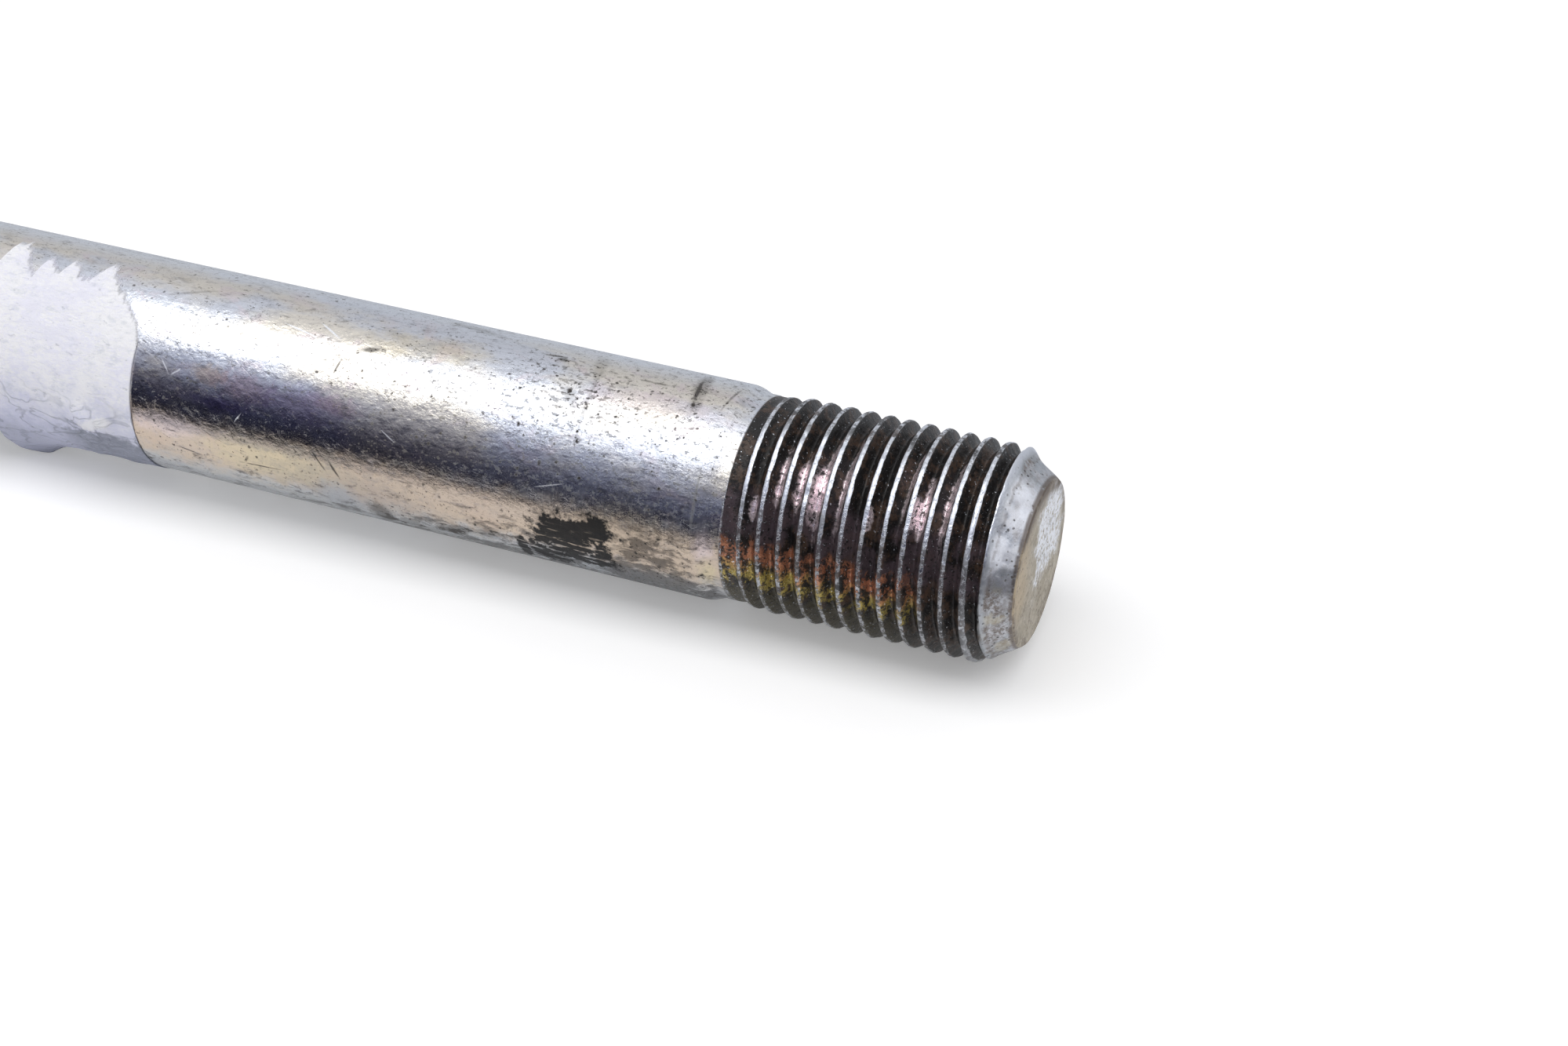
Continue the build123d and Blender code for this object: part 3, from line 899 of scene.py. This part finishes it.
# Paper that is white where it is whole, greyer towards the underside under painted shade, and greyer
# where only a thin layer is left
def makePaper():
    look = paperLook
    desk = Desk(bpy.data.materials.new("torn_paper"))
    at = boltPlaces(desk)
    place, back, side = at.place, at.back, at.side
    cloud = desk.noise(place, 0.32, 6.0, 0.65)
    fibre = desk.noise(desk.stretched(place, 1.3, 3.4, 3.4), 1.0, 7.0, 0.74, 1.2)
    felt = desk.noise(place, 5.0, 4.0, 0.7)
    colour = desk.blend((cloud * 0.5 + fibre * 0.5).step(0.44, 0.58), look["white"], look["lavender"])
    # Painted shade: the paper turns bluer and greyer towards the underside of the bolt
    paintedLowerShade = ((side + at.wobble * 46).step(10, 66) * 0.80 + (fibre - 0.5) * 0.5).clamped()
    colour = desk.blend(paintedLowerShade, colour, look["mist"])
    blotches = desk.noise(desk.stretched(place, 0.7, 1.1, 1.1), 1.0, 6.0, 0.72).step(0.54, 0.66)
    colour = desk.blend(blotches * 0.30, colour, look["blueGrey"])
    flecks = desk.noise(desk.stretched(place, 1.2, 2.8, 2.8), 1.0, 4.0, 0.6).step(0.63, 0.70)
    colour = desk.blend(flecks * 0.35, colour, look["grey"])
    thin = (side - 53 + at.wobble * 22).step(-2, 3) * back.step(78, 74)
    colour = desk.blend(thin * (0.82 + (fibre - 0.45) * 1.8).clamped(), colour, look["grey"])
    # Painted shade: greyer over the loose flap, where the paper curves away from the light
    paintedFlapShade = (side + at.wobble * 30).step(46, 76) * back.step(73, 80)
    colour = desk.blend(paintedFlapShade * 0.42, colour, look["grey"])
    creases = desk.noise(desk.stretched(place, 0.34, 0.6, 0.6), 1.0, 2.0, 0.5, 0.6)
    creases = abs(creases - 0.5).step(0.030, 0.004) * (side + at.wobble * 30).step(18, 50)
    # Painted shade: the crease lines are darkened in colour as well as dented
    colour = desk.blend(creases * 0.40, colour, look["grey"])
    # Painted highlight: a white streak along the fold of the loose flake
    fold = oval(desk, at, 72.6, 44, 1.5, 0.45, 18, 1.1, 0.4)
    colour = desk.blend(fold * 0.85, colour, look["white"])
    tear = (side + at.wobble * 16).window(-60, -49, 4) * fibre.step(0.46, 0.62)
    colour = desk.blend(tear * 0.55, colour, look["blueGrey"])
    underFlake = oval(desk, at, 73.4, 50.5, 2.0, 0.28, -10, 0.9, 0.5)
    colour = desk.blend(underFlake * 0.75, colour, look["shadow"])
    whole = desk.add("ShaderNodeAttribute", {"attribute_name": "whole"}, out=2)
    feathered = (whole * 1.5 + (fibre - 0.5) * 2.2 + 0.12).clamped()
    normal = desk.bump(fibre + cloud * 1.2 + felt * 0.5 - creases * 0.8 + fold * 0.6, 0.9, 0.10 * mm)
    rough = 0.84 + fibre * 0.1
    return desk.finish({"Base Color": colour, "Roughness": rough, "Alpha": feathered, "Normal": normal})


bolt.data.materials.append(makeZinc())
label.data.materials.append(makePaper())
print("finishes made")


# The studio, in metres: a pale floor that the bolt lies on, soft light from above, and a screen
# all round that only the metal's reflections see: dark at the front, grey behind.
studio = {
    "lightPower": 2.8,
    "lightSize": (1.20, 0.40),
    "lightPlace": (0.05, -0.10, 0.571),
    "ambient": 0.52,
    "mirroredWhite": 0.95,
    "floorColour": (0.86, 0.86, 0.87),
    "floorLift": 0.24,
    "floorReach": 3.0,
    "touchFromPoint": 2.6 * mm,  # the crest that the bolt lies on
    "screenColumns": 96,
    "screenRows": 16,
    "screenNear": 0.025,
    "screenFar": 0.40,
    "screenTop": (0.62, 0.90),   # at the front and behind
    "frontShades": [
        (0.0, (0.016, 0.017, 0.034)), (0.27, (0.018, 0.019, 0.040)), (0.44, (0.10, 0.10, 0.145)),
        (0.60, (0.26, 0.27, 0.34)), (0.80, (0.55, 0.57, 0.67)), (1.0, (0.85, 0.87, 0.95)),
    ],
    "backShades": [
        (0.0, (0.68, 0.71, 0.76)), (0.30, (0.60, 0.62, 0.66)), (0.65, (0.63, 0.63, 0.65)),
        (1.0, (0.85, 0.86, 0.90)),
    ],
    "lowShade": -15.0,           # the heights that the shades run between, in degrees
    "highShade": 60.0,
}


# 1 for what the camera sees straight on; and 1 for that, for mirrorings and for looks through
def seenAndMirrored(desk):
    ray = desk.tree.nodes.new("ShaderNodeLightPath")
    names = ("Is Camera Ray", "Is Glossy Ray", "Is Transmission Ray")
    camera, glossy, through = (Value(desk, ray.outputs[name]) for name in names)
    return camera, (camera + glossy + through).clamped()


# The floor is a plane through the head's lower flat and the lowest crest near the point.
def floorSlope():
    headFoot = (-boltShape["washerHeight"] * mm, boltLow.z)
    pointFoot = (boltHigh.x - studio["touchFromPoint"], -boltShape["crestRadius"] * mm)
    return (pointFoot[1] - headFoot[1]) / (pointFoot[0] - headFoot[0])


def makeFloor():
    reach = studio["floorReach"]
    startX = -boltShape["washerHeight"] * mm
    corners = [(sx * reach, sy * reach, boltLow.z + floorSlope() * (sx * reach - startX))
               for sx, sy in ((-1, -1), (1, -1), (1, 1), (-1, 1))]
    mesh = bpy.data.meshes.new("floor")
    mesh.from_pydata(corners, [], [(0, 1, 2, 3)])
    floor = bpy.data.objects.new("floor", mesh)
    bpy.context.scene.collection.objects.link(floor)
    desk = Desk(bpy.data.materials.new("pale_floor"))
    _, mirrored = seenAndMirrored(desk)
    plain = desk.add("ShaderNodeBsdfDiffuse", {}, {"Color": (*studio["floorColour"], 1)})
    strength = mirrored * studio["floorLift"]
    lift = desk.add("ShaderNodeEmission", {}, {"Color": (1, 1, 1, 1), "Strength": strength})
    both = desk.add("ShaderNodeAddShader", {}, {0: plain, 1: lift})
    desk.add("ShaderNodeOutputMaterial", {}, {"Surface": both})
    mesh.materials.append(desk.owner)


# The screen is a bowl round the bolt. Its height grows as a power of the distance from the
# bolt's box, from the floor to the top.
def makeScreen():
    columns, rows = studio["screenColumns"], studio["screenRows"]
    turn = np.arange(columns)[None, :] * 2 * math.pi / columns
    share = np.linspace(0, 1, rows)[:, None]
    out = studio["screenNear"] + (studio["screenFar"] - studio["screenNear"]) * share
    middle = (boltHigh.x + boltLow.x) / 2
    halfLong = (boltHigh.x - boltLow.x) / 2
    x = middle + np.cos(turn) * out + np.clip(np.cos(turn) * 4, -1, 1) * halfLong
    y = np.sin(turn) * out
    floorHeight = boltLow.z + 0.001 + (x - boltLow.x) * floorSlope()
    frontTop, backTop = studio["screenTop"]
    top = frontTop + (backTop - frontTop) * smoothStep(-0.3, 0.6, np.sin(turn))
    height = floorHeight + (top - floorHeight) * share ** 1.6
    points = np.stack([x, y, height], -1).reshape(-1, 3)
    mesh = bpy.data.meshes.new("screen")
    mesh.from_pydata(points.tolist(), [], gridFaces(rows, columns).tolist())
    screen = bpy.data.objects.new("screen", mesh)
    bpy.context.scene.collection.objects.link(screen)
    desk = Desk(bpy.data.materials.new("graded_screen"))
    metres = desk.add("ShaderNodeTexCoord", out="Object")
    acrossX, acrossY, up = desk.split(metres)
    pastEnd = (abs(acrossX - middle) - halfLong).math("MAXIMUM", 0.0)
    away = desk.math("SQRT", pastEnd * pastEnd + acrossY * acrossY)
    height = desk.math("ARCTAN2", up, away) * math.degrees(1)
    share = (height - studio["lowShade"]) / (studio["highShade"] - studio["lowShade"])
    front = desk.add("ShaderNodeValToRGB", {"stops": studio["frontShades"]}, {"Fac": share})
    behind = desk.add("ShaderNodeValToRGB", {"stops": studio["backShades"]}, {"Fac": share})
    shade = desk.blend(acrossY.step(-0.02, 0.05), front, behind)
    glow = desk.add("ShaderNodeEmission", {}, {"Color": shade, "Strength": 1.0})
    desk.add("ShaderNodeOutputMaterial", {}, {"Surface": glow})
    mesh.materials.append(desk.owner)
    screen.visible_camera = screen.visible_diffuse = screen.visible_shadow = False


def makeLights():
    lamp = bpy.data.lights.new("softbox", "AREA")
    lamp.shape = "RECTANGLE"
    lamp.size, lamp.size_y = studio["lightSize"]
    lamp.energy = studio["lightPower"]
    softbox = bpy.data.objects.new("softbox", lamp)
    softbox.location = studio["lightPlace"]
    aim = Vector(((tipX - 40) * mm, 0, 0)) - Vector(studio["lightPlace"])
    aim.x = 0
    softbox.rotation_mode = "QUATERNION"
    softbox.rotation_quaternion = aim.to_track_quat("-Z", "Y")
    bpy.context.scene.collection.objects.link(softbox)

    world = bpy.data.worlds.new("studio")
    bpy.context.scene.world = world
    desk = Desk(world)
    camera, mirrored = seenAndMirrored(desk)
    strength = studio["ambient"] + (studio["mirroredWhite"] - studio["ambient"]) * mirrored
    strength = strength + (1.0 - studio["mirroredWhite"]) * camera
    sky = desk.add("ShaderNodeBackground", {}, {"Color": (1, 1, 1, 1), "Strength": strength})
    desk.add("ShaderNodeOutputWorld", {}, {"Surface": sky})


# The camera looks down on the threaded end, from the front and a little past the point.
view = {
    "fromPoint": (39.444, -147.527, 112.021),     # in millimetres
    "azimuth": 21.724,
    "elevation": 35.607,
    "lens": 61.654,
    "sensor": 36.0,
}


def makeCamera():
    data = bpy.data.cameras.new("camera")
    data.lens, data.sensor_width = view["lens"], view["sensor"]
    data.clip_start = 0.005
    camera = bpy.data.objects.new("camera", data)
    azimuth, elevation = math.radians(view["azimuth"]), math.radians(view["elevation"])
    level = math.cos(elevation)
    forward = Vector((-math.sin(azimuth) * level, math.cos(azimuth) * level, -math.sin(elevation)))
    camera.location = (Vector((tipX, 0, 0)) + Vector(view["fromPoint"])) * mm
    camera.rotation_mode = "QUATERNION"
    camera.rotation_quaternion = forward.to_track_quat("-Z", "Y")
    bpy.context.scene.collection.objects.link(camera)
    bpy.context.scene.camera = camera


makeFloor()
makeScreen()
makeLights()
makeCamera()
bpy.context.scene.view_settings.view_transform = "Standard"
print("studio ready")
